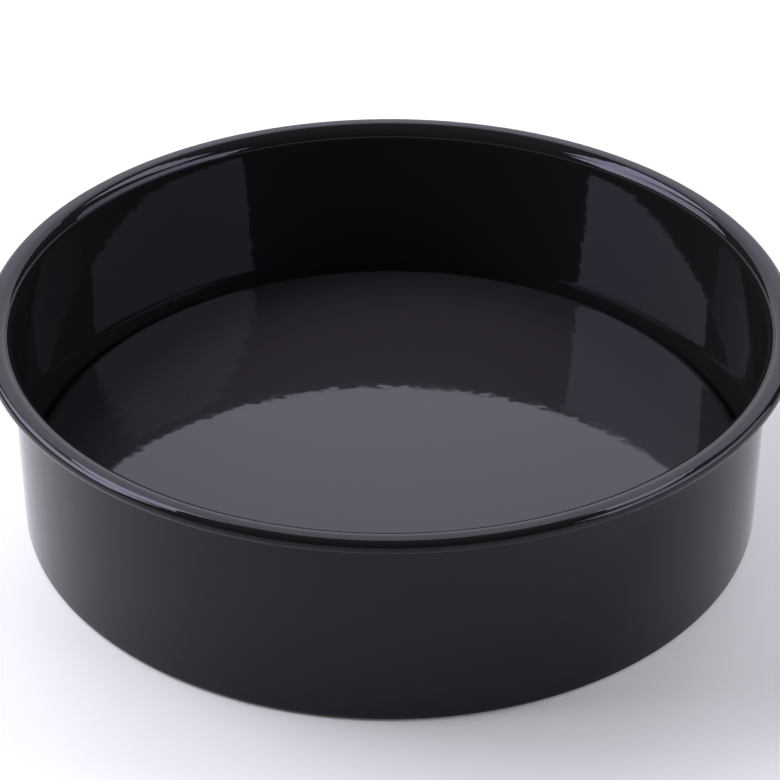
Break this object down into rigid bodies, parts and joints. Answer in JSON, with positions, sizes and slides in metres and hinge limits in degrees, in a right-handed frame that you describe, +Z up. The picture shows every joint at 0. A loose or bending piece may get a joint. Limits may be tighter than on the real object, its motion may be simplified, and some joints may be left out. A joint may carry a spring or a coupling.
{
  "type": "loose-base cake pan",
  "caption": "Round straight-sided cake pan of dark glossy coated sheet steel, with a rolled rim and a loose base that lifts out of the ring.",
  "frame": {"origin": "centre of the ring's foot, on the surface that the pan stands on", "axes": "+Z up along the pan's axis; the pan is round, so +X is any way across it"},
  "size_m": [0.258, 0.258, 0.071],
  "materials": {
    "ring_coating": "glossy near-black non-stick coating",
    "base_coating": "glossy near-black non-stick coating",
    "wire_steel": "drawn bare steel wire"
  },
  "bodies": {
    "ring": {"pan_ring": "ring_coating", "rim_wire": "wire_steel"},
    "base": {"loose_base": "base_coating"}
  },
  "joints": [
    {"name": "base_lift", "type": "slide", "parent": "ring", "child": "base", "axis": [0, 0, 1], "range_m": [0, 0.1]}
  ]
}
